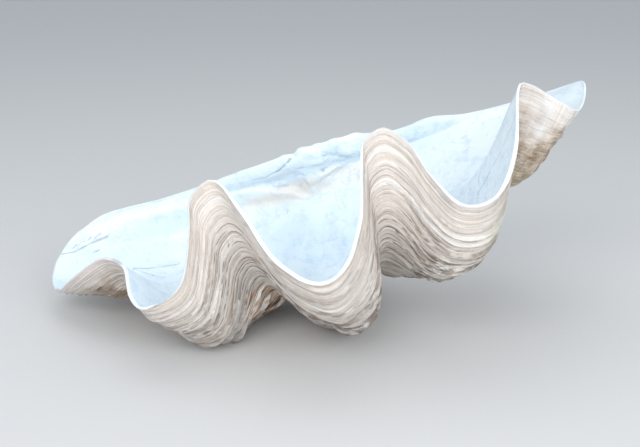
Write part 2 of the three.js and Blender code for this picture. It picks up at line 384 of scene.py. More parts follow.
def pause_wander():
    """How far each pause lies from the growth law, as a share of the layers beside it: long waves, and
    short ones that come and go. The finished edge has none."""
    long = pause_noise(0.25, size=70, seed=11)
    short = pause_noise(1, size=13, seed=12) * smooth(pause_noise(0.3, size=45, seed=13) * 1.6)
    jag = JAG * pause_noise(1, size=5.5, seed=16) * smooth(pause_noise(0.4, size=30, seed=17) * 2)
    wander = LONG_WANDER * long + SHORT_WANDER * short + jag
    wander[-1] = 0
    width = np.minimum(np.diff(PAUSES, prepend=OLDEST / 2), np.diff(PAUSES, append=AFTER_TODAY))
    return np.clip(wander, -WANDER_LIMIT, WANDER_LIMIT) * width[:, None]


def pause_height():
    """How proud the edge of each layer stands, in mm: wide layers stand higher, and along one layer
    the height comes and goes."""
    width = np.diff(PAUSES, prepend=OLDEST) * np.linalg.norm(way_of_growth(PAUSES, 8.0), axis=1)
    along = 0.55 + 0.75 * pause_noise(0.6, size=42, seed=14) + 0.3 * pause_noise(1, size=12, seed=15)
    step = np.clip(LEAST_STEP + STEP_SHARE * width, 0, HIGHEST_STEP)
    return step[:, None] * np.clip(along, LEAST_ALONG, MOST_ALONG)


PAUSE_SCALE = PAUSES[:, None] + pause_wander()
PAUSE_HEIGHT = pause_height()
print("layer edges stand", round(PAUSE_HEIGHT.mean(), 2), "mm proud on average")


# %% Rows of the outside
def layer_rows():
    """Scale, height and layer count of every row from the beak to the edge. Between two pauses all
    three are straight blends of the pauses' own values."""
    scales = [np.full(COLUMNS, s) for s in BEAK_SCALES]
    lifts = [np.zeros(COLUMNS) for _ in BEAK_SCALES]
    counts = [np.full(COLUMNS, n - len(BEAK_SCALES)) for n in range(len(BEAK_SCALES))]
    for n in range(len(PAUSES) - 1):
        for share, lift in zip(LAYER_ROWS, LAYER_LIFT):
            scales.append(PAUSE_SCALE[n] + share * (PAUSE_SCALE[n + 1] - PAUSE_SCALE[n]))
            lifts.append(lift * PAUSE_HEIGHT[n + 1])
            counts.append(np.full(COLUMNS, n + share))
    return [np.array(rows) for rows in (scales, lifts, counts)]


SCALE, LIFT, COUNT = layer_rows()
grows = bool((np.diff(SCALE, axis=0) > 0).all())
print(len(SCALE), "rows on the outside, and the scale grows all along:", grows)

# %% [markdown]
# ## Old shell
#
# The shell nearest the beak is decades old. Boring sponges, worms and weed have eaten the layers away
# there and left lumps and pits, and at both ends that worn part comes close to the edge.
#
# Bump in the material could fake the lumps, but not their ragged outline. So they are real heights, and
# a mask that runs from 0 on sound shell to 1 on worn shell says where.

# %% The worn part
WORN_FROM = [  # place, and the scale below which the shell is worn there
    (0, 0.9), (3, 0.93), (4, 0.955), (4.7, 0.965), (5.2, 0.955), (5.6, 0.76), (6.2, 0.62),
    (8, 0.56), (9.6, 0.58), (10.3, 0.66), (10.85, 0.8), (11.1, 0.95), (11.3, 0.96),
    (11.6, 0.95), (12, 0.945), (13, 0.94), (16, 0.9),
]
WORN_BLEND, WORN_RAGGED = 0.07, 0.05  # in scale: how soft its border is, and how far it wanders
LUMP_HEIGHT, KNOB_HEIGHT, SCALE_HEIGHT, PIT_DEPTH = 1.2, 0.6, 1.8, 1.6  # mm


def worn(scale, place, points):
    """0 on sound shell and 1 on worn shell, with an uneven border."""
    border = np.interp(np.mod(place, PLACES), *np.transpose(WORN_FROM))
    return smooth((border - scale + WORN_RAGGED * rough_noise(points, size=26, seed=21)) / WORN_BLEND)


def lumps(points):
    """Height in mm of worn shell: lumps, small knobs, scales with a sharp furrow round each (a noise
    without its sign), and pits where another noise runs high."""
    pits = smooth((rough_noise(points, size=9, seed=33) - 0.45) * 3)
    scales = np.abs(soft_noise(points, size=7, seed=34))
    knobs = soft_noise(points, size=5, seed=32)
    rough = LUMP_HEIGHT * rough_noise(points, size=17, seed=31) + KNOB_HEIGHT * knobs
    return rough + SCALE_HEIGHT * scales - PIT_DEPTH * pits


print("the worn part reaches up to scale", max(row[1] for row in WORN_FROM))

# %% [markdown]
# ## Patches that differ
#
# Deep in the second groove the layers have sprung apart into thin flakes, stained by rust-brown weed.
# Low on three ribs they stand prouder, as ridges. Blows have broken some edges and left them chalk
# white, and a film of green weed has grown in a few places. The last rib is a pale, calmer fan.
#
# Vertex groups painted by hand could mark these patches. A bell for each says the same in one line:
# strength, scale, width, place, spread.

# %% Flakes, scuffs, ridges and weed
FLAKES = [(1, 0.70, 0.05, 6.84, 0.2), (0.9, 0.755, 0.035, 6.7, 0.13), (0.9, 0.63, 0.05, 6.9, 0.25)]
SCUFFS = [
    (1, 0.83, 0.07, 9.85, 0.16), (0.9, 0.77, 0.06, 8.3, 0.28), (0.7, 0.86, 0.05, 8.5, 0.1),
    (0.8, 0.80, 0.05, 10.2, 0.25), (0.8, 0.80, 0.06, 6.1, 0.4), (0.8, 0.75, 0.04, 7.5, 0.25),
]
RIDGES = [(1, 0.80, 0.09, 6.1, 0.5), (1, 0.76, 0.08, 8.0, 0.6), (0.8, 0.80, 0.08, 9.9, 0.4)]
WEED = [(0.8, 0.90, 0.09, 10.45, 0.16), (0.6, 0.78, 0.07, 11.5, 0.4), (0.5, 0.6, 0.1, 9.3, 0.4)]
FLAKE_STEP, SCUFF_STEP, RIDGE_STEP = 2.6, 0.9, 2.4  # how much higher the steps are there, in steps
FAN_FROM, FAN_BLEND, FAN_TO = 11.2, 0.4, 13.3  # the places of the pale fan
FAN_CALM = 0.6  # share by which its steps are lower


def fan():
    """1 on the pale fan of the last rib, 0 elsewhere."""
    return smooth((PLACE - FAN_FROM) / FAN_BLEND) * (PLACE < FAN_TO)


def scuffed():
    """Where the layers are broken: soft patches, made uneven by noise."""
    patches = bells(SCUFFS, SCALE, PLACE)
    return smooth(patches * (1 + 0.9 * rough_noise(sheet(SCALE, PLACE), size=11, seed=24)))


FLAKE, SCUFF, FAN = bells(FLAKES, SCALE, PLACE), scuffed(), fan()
cover = [f"{share.mean():.1%}" for share in (FLAKE, SCUFF)]
print("flakes and scuffs take up", cover, "of the outside's points")


# %% The outside
WAVE_HEIGHT, WAVE_FADE = 0.8, 0.1  # mm, and the share of the scale over which they end at the lip
GROOVE_STEP, RIB_EXTRA = 0.7, 0.7  # share of a step's height in a groove, and what a rib adds
WORN_STEP, WORN_UNEVEN = 0.3, 1.1  # what worn shell adds, and how unevenly


def outside():
    """The outside of the valve and the mask of its worn part: the growth sheet, moved outward by the
    steps, waves and lumps that stand proud of it. Swellings stand square to the smoothed sheet."""
    points = sheet(SCALE, PLACE)
    old = worn(SCALE, PLACE, points)
    ragged = 1 + old * (WORN_STEP + WORN_UNEVEN * soft_noise(points, size=9, seed=25))
    calm = (GROOVE_STEP + RIB_EXTRA * (1 - fold_wave(PLACE))) * (1 - FAN_CALM * FAN)
    higher = 1 + FLAKE_STEP * FLAKE + SCUFF_STEP * SCUFF + RIDGE_STEP * bells(RIDGES, SCALE, PLACE)
    waves = WAVE_HEIGHT * soft_noise(points, size=33, seed=22) * smooth((1 - SCALE) / WAVE_FADE)
    proud = (LIFT * calm * ragged * higher + waves + old * lumps(points))[..., None]
    swollen = swelling(SCALE, PLACE)[..., None]
    return points - way_in(SCALE, PLACE) * proud - way_in(SCALE, PLACE, inner=True) * swollen, old


OUTSIDE, OLD = outside()
print("the outside has", OUTSIDE.shape[0], "rows of", OUTSIDE.shape[1], "points")

# %% [markdown]
# ## The inside
#
# Inside, the animal keeps adding porcelain, which fills the folds and leaves a smooth bowl. It is the
# same sheet with shallower folds, moved inwards by the thickness of the wall. Along the hinge it moves
# towards the middle of the bowl instead, which leaves the level platform that carries the teeth. Close
# to the lip the wall thins quickly, so that the rim itself is narrow.
#
# A Solidify modifier would give a wall too, but of one thickness and with the folds copied inside.

# %% The inside wall
WALL_DEEP = 13  # mm near the beak; at the edge it is as thick as the lip
WALL_POWER = 0.8
BOWL_CENTRE = np.array([0.0, -100, 20])
HINGE_REACH, HINGE_BLEND = 4.2, 1.4  # places each side of the hinge that move towards that centre
HOLLOW_INSIDE = 0.6  # share of a hollow by which the inside follows it
TAPER_REACH = 0.06  # share of the scale over which the wall thins to the rim
THIN_LIP, THICK_LIP = 11, 17  # mm; the rim is thinned up to the first, and not from the second on
THIN_SHARE = 0.4


def rim_thickness(place):
    """Thickness in mm of the rim itself: a share of the lip where that is thin, all of it at the hinge."""
    lip = lip_line(place)[..., 0]
    return lip * (THIN_SHARE + (1 - THIN_SHARE) * smooth((lip - THIN_LIP) / (THICK_LIP - THIN_LIP)))


def inside(scale, place):
    """The smoothed sheet moved into the bowl by the wall: the lip's own thickness at the edge, and
    more towards the beak, by a power of what is left of the scale."""
    scale, place = np.broadcast_arrays(np.asarray(scale, float), np.asarray(place, float))
    points = sheet(scale, place, inner=True)
    share = smooth((HINGE_REACH - from_hinge(place)) / HINGE_BLEND)[..., None]
    square = way_in(scale, place, inner=True)
    way = unit(square + share * (unit(BOWL_CENTRE - points) - square))
    lip = lip_line(place)[..., 0]
    wall = lip + (np.maximum(WALL_DEEP, lip) - lip) * (1 - scale) ** WALL_POWER
    wall += (rim_thickness(place) - lip) * (1 - smooth((1 - scale) / TAPER_REACH))
    hollow = HOLLOW_INSIDE * np.maximum(0, -swelling(scale, place))
    return points + way * (wall + hollow)[..., None]


print("at two ribs and the hinge the rim is", rim_thickness(np.array([6.0, 8.0, 15.0])).round(1), "mm thick")

# %% [markdown]
# The sheet rolls up into a tight spiral under the hinge, too tight for a wall. From there on the hollow
# is closed by a cap: a cubic that starts flat at its middle and meets the inside in line with it.

# %% The cap at the bottom of the bowl
CAP_SCALE = 0.3
CAP_POLE = np.array([-10.0, -12, -48])
CAP_AXIS = unit(np.array([0, -0.88, 0.47]))
CAP_ROUNDNESS = 1.2


def cap(share, place):
    """pole + a t + b t^2 + c t^3, where a is square to the cap's axis, and b and c make it meet the
    inside at t = 1 with the inside's own slope."""
    here = np.full(np.shape(place), CAP_SCALE)
    reach = inside(here, place) - CAP_POLE
    ahead = inside(here + DIFFERENCE, place) - inside(here - DIFFERENCE, place)
    slope = ahead * CAP_SCALE / (2 * DIFFERENCE)
    a = CAP_ROUNDNESS * (reach - CAP_AXIS * (reach @ CAP_AXIS)[..., None])
    b = 3 * reach - slope - 2 * a
    c = slope - 2 * reach + a
    t = np.asarray(share, float)[..., None, None]
    return CAP_POLE + a * t + b * t**2 + c * t**3


rim_gap = np.linalg.norm(cap(np.ones(1), PLACE)[0] - inside(CAP_SCALE, PLACE), axis=1).max()
print(f"the cap meets the inside to within {rim_gap:.3f} mm")

# %% [markdown]
# ## The hinge
#
# Two valves lock with teeth, long low ridges beside sockets. They sit on the platform, so each one is a
# height added to the inside: a ridge along a short line, or a hollow if its height is negative.

# %% Ridges and hollows
HINGE_MARKS = [  # points along the mark (x, y, z in mm), half width, height
    ([(-12, -9, -28), (-1, -9, -27), (10, -6, -24), (20, -4, -22)], 2.8, 3.4),  # the long tooth
    ([(2, -9, -22.5), (4, -8, -22.5)], 2.2, -3.2),  # a socket beside it
    ([(28, -20, -9), (31, -17, -13)], 4.2, 2.4),  # an oval lump, and a furrow round its side
    ([(22, -22, -5), (21, -20, -12), (27, -13, -17)], 1.2, -2.0),
    ([(0, -20, -12), (4, -19, -14)], 3.6, 1.8),  # a lower lump between two dips
    ([(-8, -23, -6), (-2, -22, -8)], 3.4, -1.2),
    ([(12, -21, -9), (16, -20, -12)], 4.0, -1.0),
    # two long furrows and a faint ridge along the platform
    ([(-61, -9, -13), (-51, -10, -14), (-39, -15, -10), (-27, -20, -5), (-18, -21, 1)], 1.5, -0.9),
    ([(-82, -1, -25), (-58, -1, -25), (-40, -3, -27), (-27, -4, -27), (-17, -8, -27)], 2.2, -0.5),
    ([(-70, -2, -31), (-45, -3, -33), (-20, -5, -34), (10, -7, -34), (35, -5, -30)], 4.0, 0.5),
    ([(-18, -22, 2), (-19, -10, 3), (-20, 0, 1)], 2.6, -3.0),  # the notch across the rim
    # low knobs across the rim
    ([(-9, -20, 4), (-8, -2, 1)], 6.0, 1.9),
    ([(6, -20, 4), (6, -2, 1)], 4.0, 1.4),
    ([(21, -20, 3), (22, -2, 1)], 5.0, 1.2),
    ([(41, -17, 2), (42, -2, 0)], 6.0, 1.6),
    ([(-27, -18, 2), (-27, -2, 0)], 4.0, 1.0),
]


def from_path(points, path):
    """Distance of each point to the nearest of a path's straight pieces."""
    nearest = np.full(points.shape[:-1], np.inf)
    for start, end in zip(path[:-1], path[1:]):
        start, way = np.array(start, float), np.subtract(end, start)
        share = np.clip((points - start) @ way / (way @ way), 0, 1)
        gap = np.linalg.norm(points - start - share[..., None] * way, axis=-1)
        nearest = np.minimum(nearest, gap)
    return nearest


def hinge_relief(points):
    """Height in mm of the teeth and sockets: each falls off as a bell across its line."""
    return sum(
        height * np.exp(-((from_path(points, path) / width) ** 2)) for path, width, height in HINGE_MARKS
    )


print(len(HINGE_MARKS), "marks, the tallest", max(height for _, _, height in HINGE_MARKS), "mm")

# %% Rows of the inside
INNER_SCALES = np.concatenate([
    [0.999, 0.996],  # close to the lip
    np.linspace(0.988, 0.86, 11),  # where the wall thins, and the teeth are
    np.linspace(0.84, CAP_SCALE, 30),
])
CAP_SHARES = np.linspace(0.93, 0.07, 12)
EVENED_ROWS, EVENED_ROUNDS = slice(21, 51), 60  # rows where the sheet begins to roll up
LEVEL_ROWS = 5  # rows by the lip over which the unevenness comes in


def surface_normals(points):
    """Unit normals of a net of points, closed round its columns, pointing to the side that the growth
    sheet calls inwards when the rows run from the edge to the beak."""
    down = np.gradient(points, axis=0)
    round_ = np.roll(points, -1, 1) - np.roll(points, 1, 1)
    return unit(np.cross(round_, down))


def evened(net, rows, rounds):
    """The net with each point in these rows moved to the mean of itself and its neighbours one row
    up and down, again and again, so that a crease across the rows fills up."""
    net = net.copy()
    for _ in range(rounds):
        above, below = net[rows.start - 1:rows.stop - 1], net[rows.start + 1:rows.stop + 1]
        net[rows] = (above + 2 * net[rows] + below) / 4
    return net


def inner_net():
    """The inside wall and the cap as one net, with the hinge relief and a slight natural unevenness."""
    wall = inside(INNER_SCALES[:, None], PLACE)
    net = evened(np.concatenate([wall, cap(CAP_SHARES, PLACE)]), EVENED_ROWS, EVENED_ROUNDS)
    fade = smooth(np.arange(len(net)) / LEVEL_ROWS)[:, None]
    uneven = 0.5 * soft_noise(net, size=37, seed=51) + 0.2 * soft_noise(net, size=12, seed=52)
    height = fade * uneven + hinge_relief(net)
    return net + surface_normals(net) * height[..., None]


INNER = inner_net()
print("the inside has", INNER.shape[0], "rows")

# %% [markdown]
# ## The lip
#
# The edge is the newest shell: white, hard, and rounded over. Between the last row outside and the
# first inside go a few rows on half an oval. It bulges only a little, even where the lip is thick, and
# small chips are bitten out of it.

# %% The lip
LIP_TURNS = np.linspace(0, np.pi, 8)[1:-1]
LIP_BULGE, BULGE_SHARE = 0.7, 0.6  # mm at most, and against half the wall
LIP_SQUARE = 0.6  # under 1 makes the oval squarer
NIBBLED = [(1.2, 1, 1, 8.75, 0.14), (1, 1, 1, 3.3, 0.5)]  # bells: where the lip is chipped more
WEAR_HEIGHT, CHIP_DEPTH = 0.6, 1.6  # mm


def lip_net(outer, inner):
    """Half an oval from the last outer row to the first inner row: middle - a cos + bulge sin, where
    a is half the wall and the bulge points the way that the shell grows."""
    middle, across = (outer + inner) / 2, (inner - outer) / 2
    half = np.linalg.norm(across, axis=-1)
    square = unit(across)
    growth = way_of_growth(np.ones(COLUMNS), PLACE)
    growth = unit(growth - square * (growth * square).sum(-1)[:, None])
    nibbled = 1 + bells(NIBBLED, np.ones(COLUMNS), PLACE)
    chips = WEAR_HEIGHT * rough_noise(EDGE_POINTS, size=16, seed=61, layers=2) * nibbled
    chips -= CHIP_DEPTH * smooth(soft_noise(EDGE_POINTS, size=10, seed=62) * 4 - 2.2)
    bulge = np.minimum(BULGE_SHARE * half, LIP_BULGE) + chips
    cosine, sine = np.cos(LIP_TURNS), np.sin(LIP_TURNS)
    along = np.sign(cosine) * np.abs(cosine) ** LIP_SQUARE
    rise = sine**LIP_SQUARE
    net = middle - across * along[:, None, None] + growth * bulge[:, None] * rise[:, None, None]
    return net + growth * (hinge_relief(net) * rise[:, None])[..., None]


LIP = lip_net(OUTSIDE[-1], INNER[0])
thickness = np.linalg.norm(OUTSIDE[-1] - INNER[0], axis=1)
print("the lip is", round(thickness.min(), 1), "to", round(thickness.max(), 1), "mm thick")

# %% [markdown]
# ## How it lies
#
# The valve is tipped about the hinge until it rests on two ribs. Those two are worn flat where they
# touch the ground, so whatever would reach below it is brought up to it.
#
# The object itself could be turned, but its place belongs in its mesh: patterns that follow the
# object's own coordinates then stay put wherever the shell is used.

# %% One closed mesh
ROLL, PITCH = math.radians(-18), math.radians(-4)
HINGE_AT = np.array([-1.0, 124.3, 136])


def lying(points):
    """Turned by the pitch about x and then the roll about y, moved to the hinge's place, in metres."""
    cos, sin = math.cos(ROLL), math.sin(ROLL)
    roll = np.array([[cos, 0, sin], [0, 1, 0], [-sin, 0, cos]])
    cos, sin = math.cos(PITCH), math.sin(PITCH)
    pitch = np.array([[1, 0, 0], [0, cos, -sin], [0, sin, cos]])
    placed = points @ (roll @ pitch).T + HINGE_AT
    placed[..., 2] = np.maximum(placed[..., 2], 0)
    return placed * MM


def net_faces(rows, columns):
    """Quads between neighbouring rows, and a fan of triangles round the pole at each end. Point 0 is
    the first pole and the last point is the last pole."""
    index = 1 + np.arange(rows * columns).reshape(rows, columns)
    after = np.roll(index, -1, 1)
    quads = np.stack([index[:-1], after[:-1], after[1:], index[1:]], -1).reshape(-1, 4)
    first = np.stack([np.zeros(columns, int), after[0], index[0]], -1)
    last = np.stack([index[-1], after[-1], np.full(columns, rows * columns + 1)], -1)
    return quads, first, last


def make_mesh(name, net, first_pole, last_pole):
    """A closed mesh from a net of rows and its two poles."""
    rows, columns = net.shape[:2]
    points = np.concatenate([[first_pole], net.reshape(-1, 3), [last_pole]])
    quads, first, last = net_faces(rows, columns)
    mesh = bpy.data.meshes.new(name)
    mesh.from_pydata(lying(points), [], [*first.tolist(), *quads.tolist(), *last.tolist()])
    mesh.polygons.foreach_set("use_smooth", np.ones(len(mesh.polygons), bool))
    mesh.validate()
    return mesh


NET = np.concatenate([OUTSIDE, LIP, INNER])
mesh = make_mesh("clam_valve", NET, BEAK, CAP_POLE)
valve = bpy.data.objects.new("clam_valve", mesh)
bpy.context.scene.collection.objects.link(valve)
triangles = sum(len(p.vertices) - 2 for p in mesh.polygons)
print("one closed mesh of", len(mesh.vertices), "points and", triangles, "triangles")

# %% [markdown]
# ## Masks for the finish
#
# The finish follows growth: bands, worn shell, flakes, porcelain. Painting an image would tie it to one
# unwrapped layout. The same arrays that made the shape are stored on the points as attributes instead,
# and the material reads them by name.

# %% From arrays to attributes
OUT, TURN, IN = len(OUTSIDE), len(LIP), len(INNER)


def store(name, rows, first=0.0, last=0.0):
    """One number per point, from an array of rows and columns and a value for each pole."""
    values = np.concatenate([[first], np.asarray(rows, float).ravel(), [last]])
    attribute = mesh.attributes.new(name, "FLOAT", "POINT")
    attribute.data.foreach_set("value", values.astype(np.float32))


def store_vectors(name, rows):
    """One vector per point, from an array of rows and columns of vectors. The poles get zeros."""
    values = np.concatenate([np.zeros((1, 3)), rows.reshape(-1, 3), np.zeros((1, 3))])
    attribute = mesh.attributes.new(name, "FLOAT_VECTOR", "POINT")
    attribute.data.foreach_set("vector", values.astype(np.float32).ravel())


def with_inside(rows, lip=0.0, inner=0.0):
    """Rows of the outside, followed by one value all over the lip and one all over the inside."""
    return np.concatenate([rows, np.full((TURN, COLUMNS), lip), np.full((IN, COLUMNS), inner)])


store("growth", with_inside(COUNT, COUNT.max(), COUNT.max()), -OLD_LAYERS, COUNT.max())
store("worn", with_inside(OLD), 1.0)
store("flakes", with_inside(FLAKE))
store("scuffs", with_inside(SCUFF))
store("weed", with_inside(bells(WEED, SCALE, PLACE)))
print("attributes so far:", [a.name for a in mesh.attributes if a.data_type == "FLOAT"])

# %% [markdown]
# Some masks need more than rows of the outside. The lip is whitest on its outer side and goes over into
# the porcelain. Along the arch of the first rib the edge is a pale bevel, broken off at a slant. Below
# the hinge lies a beige stain, a soft lens round one point. The age is the scale itself, and the spoke
# is the point of the edge that a line of growth ends in, so a noise on it makes streaks from the beak
# to the edge.

# %% Lip, bevel, stain, age and spokes
RIM_FROM, RIM_TINT = 0.998, 0.35  # scale from which the outside turns white, and how much at most
LIP_WHITE = np.linspace(0.8, 0.1, TURN)  # from the outer row of the lip to the inner one
OUTER_RIM_PORCELAIN = 0.15
BEVEL_FROM, BEVEL_GAIN, BEVEL_ROWS = 0.96, 1.6, 3  # scale, steepness, and rows that it reaches inside
BEVEL_START, BEVEL_END = (3.7, 0.4), (5.4, 0.35)  # place and blend
STAIN_MIDDLE, STAIN_HALF = np.array([0, -6, -34]), np.array([92, 26, 10])  # mm
STAIN_TO, STAIN_BLEND = 1.35, 0.7  # in halves of the lens
STREAKS_FROM, STREAKS_BLEND = 11.45, 0.3  # places of the fan's streaks

porcelain_rows = with_inside(np.zeros((OUT, COLUMNS)), 1, 1)
porcelain_rows[OUT - 1] = OUTER_RIM_PORCELAIN
bevel_rows = with_inside(smooth((SCALE - BEVEL_FROM) / (1 - BEVEL_FROM) * BEVEL_GAIN), 1, 0)
bevel_rows[-IN:] = np.clip(1 - np.arange(IN)[:, None] / BEVEL_ROWS, 0, 1)
bevel_rows *= smooth((BEVEL_END[0] - PLACE) / BEVEL_END[1])
bevel_rows *= smooth((PLACE - BEVEL_START[0]) / BEVEL_START[1])
lip_rows = with_inside(RIM_TINT * smooth((SCALE - RIM_FROM) / (1 - RIM_FROM)), 1, 0)
lip_rows[OUT:OUT + TURN] = LIP_WHITE[:, None]
fan_rows = with_inside(np.ones((OUT, COLUMNS)) * FAN)
stain_reach = np.linalg.norm((NET - STAIN_MIDDLE) / STAIN_HALF, axis=-1)
inside_only = with_inside(np.zeros((OUT, COLUMNS)), 0, 1)
inner_ages = np.repeat(np.concatenate([INNER_SCALES, CAP_SHARES * CAP_SCALE])[:, None], COLUMNS, 1)

store("porcelain", porcelain_rows, 0.0, 1.0)
store("bevel", bevel_rows)
store("lip", lip_rows * (1 - bevel_rows))
store("fan", fan_rows)
store("streaked", fan_rows * smooth((PLACE - STREAKS_FROM) / STREAKS_BLEND))
store("stain", smooth((STAIN_TO - stain_reach) / STAIN_BLEND) * inside_only)
store("age", np.concatenate([SCALE, np.ones((TURN, COLUMNS)), inner_ages]))
store_vectors("spoke", np.broadcast_to(EDGE_POINTS * MM, (OUT + TURN + IN, COLUMNS, 3)))
print("attributes:", [a.name for a in mesh.attributes if a.data_type == "FLOAT"])

# %% [markdown]
# ## The material
#
# Shell is one substance with two faces: chalky and banded outside, porcelain inside. Two materials
# would meet in a hard line, so one material mixes both by the porcelain mask. A few short helpers keep
# its nodes readable.

# %% Node helpers
shell = bpy.data.materials.new("aragonite")
shell.use_nodes = True
tree = shell.node_tree
tree.nodes.clear()


def node(kind, inputs=(), **settings):
    """A new node with its settings, and its inputs given as numbers or as sockets to link from."""
    made = tree.nodes.new("ShaderNode" + kind)
    for key, value in settings.items():
        setattr(made, key, value)
    for key, value in dict(inputs).items():
        if isinstance(value, bpy.types.NodeSocket):
            tree.links.new(value, made.inputs[key])
        else:
            made.inputs[key].default_value = value
    return made


def mask(name):
    """The number stored on the points under this name."""
    return node("Attribute", attribute_name=name).outputs["Fac"]


def vector_math(operation, inputs):
    """One sum on vectors, with a vector as its result."""
    return node("VectorMath", inputs, operation=operation).outputs[0]


def math_(operation, a, b=0.0, clamp=False):
    """One sum on two numbers."""
    return node("Math", {0: a, 1: b}, operation=operation, use_clamp=clamp).outputs[0]


def times(first, *others):
    """All these numbers multiplied."""
    for other in others:
        first = math_("MULTIPLY", first, other)
    return first


def between(value, low, high, to_low=0.0, to_high=1.0):
    """Smoothly from to_low to to_high as the value runs from low to high."""
    spots = {"Value": value, "From Min": low, "From Max": high, "To Min": to_low, "To Max": to_high}
    return node("MapRange", spots, interpolation_type="SMOOTHSTEP").outputs[0]


def mix(share, a, b, blend="MIX"):
    """One colour blended over another. Sockets 0, 6 and 7 are the share and the two colours."""
    return node("Mix", {0: share, 6: a, 7: b}, data_type="RGBA", blend_type=blend).outputs[2]


def noise(vector, scale, detail=2.0, roughness=0.5, distortion=0.0):
    """Noise from 0 to 1."""
    spots = {"Vector": vector, "Scale": scale, "Detail": detail, "Roughness": roughness}
    return node("TexNoise", {**spots, "Distortion": distortion}).outputs["Fac"]


def ramp(value, *stops):
    """A colour from the value, through stops of (position, colour)."""
    made = node("ValToRGB", {"Fac": value})
    elements = made.color_ramp.elements
    while len(elements) < len(stops):
        elements.new(0.5)
    for element, (position, colour) in zip(elements, stops):
        element.position = position
        element.color = colour
    return made.outputs["Color"]


def srgb(red, green, blue):
    """A colour given as it looks on a screen, 0 to 255, in the linear values that nodes use."""
    share = np.array([red, green, blue]) / 255
    linear = np.where(share <= 0.04045, share / 12.92, ((share + 0.055) / 1.055) ** 2.4)
    return (*linear.tolist(), 1.0)


def grey(value):
    """A grey colour."""
    return (value, value, value, 1.0)


def shaded(colour, value):
    """The colour darkened or lightened by a number near 1."""
    tone = node("CombineColor", {0: value, 1: value, 2: value}).outputs[0]
    return mix(1.0, colour, tone, "MULTIPLY")


print("white as the nodes see it:", srgb(255, 255, 255))

# %% [markdown]
# ### Bands
#
# Each season's shell has its own tint, from chalk white to tan and a greyish pink. A wave texture
# would make them even. Noise that is stretched along the layers makes them uneven and lets them fade
# in and out: its vector is mostly the layer count, with a little of the position mixed in.

# %% Bands and fine lines
position = node("TexCoord").outputs["Object"]
growth = mask("growth")


def along_layers(count_scale, position_scale):
    """A vector that changes fast across the layers and slowly along them."""
    slow = vector_math("SCALE", {0: position, "Scale": position_scale})
    fast = node("CombineXYZ", {"Z": times(growth, count_scale)}).outputs[0]
    return vector_math("ADD", {0: slow, 1: fast})


def layer_noise(count_scale, position_scale, detail=2.0, roughness=0.5):
    """Noise from 0 to 1 that is drawn out along the layers."""
    return noise(along_layers(count_scale, position_scale), 1.0, detail, roughness)


CREAM, CHALK = srgb(224, 217, 210), srgb(238, 234, 230)
TAN, PINK = srgb(212, 202, 192), srgb(210, 202, 197)
bands = ramp(
    layer_noise(0.42, 4),
    (0.30, PINK), (0.43, CREAM), (0.51, TAN), (0.58, CREAM), (0.70, CHALK),
)
fine_lines = layer_noise(4.6, 15, detail=3.0, roughness=0.6)
outer = shaded(bands, between(fine_lines, 0.3, 0.7, 0.90, 1.04))
print("bands and fine lines:", len(tree.nodes), "nodes")

# %% [markdown]
# Faint lines also run square to the layers, from the beak to the edge. They are noise on the spoke
# vector, which is the same all along such a line. On the pale fan they are clear tan streaks.

# %% Spokes and the pale fan
FAN_WHITE, STREAK_TAN = srgb(238, 238, 239), srgb(212, 202, 190)
spoke = node("Attribute", attribute_name="spoke").outputs["Vector"]
spokes = noise(spoke, 170, detail=3.0, roughness=0.6)
outer = shaded(outer, between(spokes, 0.3, 0.7, 0.96, 1.03))
streaks = between(noise(spoke, 620), 0.46, 0.56, 0, 0.8)
outer = mix(times(mask("fan"), 0.75), outer, FAN_WHITE)
outer = mix(times(mask("streaked"), streaks), outer, STREAK_TAN)
print("with spokes:", len(tree.nodes), "nodes")

# %% [markdown]
# Each layer ends in a thin edge, with a painted highlight along it and a painted shade line under it, where
# the step would throw its shadow. Both follow from how far along its layer a point is, which is what is left
# of the layer count after the whole layers. They are stronger on older shell, which lies low on the ribs,
# faces the floor, and gets painted shade all over as well.

# %% Painted highlights and shade lines at the layer edges
# colours of the painted shade line under each layer edge, of the painted highlight on it, and the chalk
# white of broken edges
STEP_SHADE, EDGE_HIGHLIGHT, SCUFFED = srgb(152, 136, 126), srgb(238, 233, 228), srgb(243, 239, 233)
# painted shade for the older shell, which lies low on the ribs and faces the floor
UNDERSIDE_SHADE = grey(0.86)
along_layer = math_("FRACT", growth)
uneven = layer_noise(0.9, 16)
broken = layer_noise(0.9, 75, roughness=0.6)
sound = math_("SUBTRACT", 1.0, mask("worn"))
older = between(mask("age"), 0.85, 0.98, 1.5, 0.6)
# painted shade: a dark line at the start of each layer, under the edge of the layer before
step_shade = times(
    between(along_layer, 0.03, 0.26, 1, 0),
    between(uneven, 0.36, 0.6, 0.1, 0.9),
    between(broken, 0.38, 0.58, 0.1, 1),
    older,
    between(mask("fan"), 0, 1, 0.85, 0.25),
)
# painted highlight: a pale line along the top of each layer, where its edge would catch the light
edge_highlight = times(
    between(along_layer, 0.66, 0.95),
    between(uneven, 0.44, 0.64, 0, 0.9),
    between(broken, 0.42, 0.6, 1, 0.2),
    older,
)
chips = between(layer_noise(1.3, 90, detail=3.0, roughness=0.6), 0.45, 0.58, 0, 0.85)
outer = mix(times(step_shade, sound), outer, STEP_SHADE)
outer = mix(times(edge_highlight, sound), outer, EDGE_HIGHLIGHT)
# painted shade that deepens from the lip towards the older shell low on the ribs
outer = mix(between(mask("age"), 0.74, 0.94, 1, 0), outer, UNDERSIDE_SHADE, "MULTIPLY")
outer = mix(times(mask("scuffs"), chips), outer, SCUFFED)
print("with rims and dirt:", len(tree.nodes), "nodes")

# %% [markdown]
# ### Worn shell, flakes and weed
#
# Where the layers are worn away the shell is tan and brown, darker in its pits, and streaked along the
# way it grew. A film of green weed has stained a few places. One noise colour would look like paint, so
# a fine speckle, broad blotches, the spokes and wrinkles along the layers go over each other.

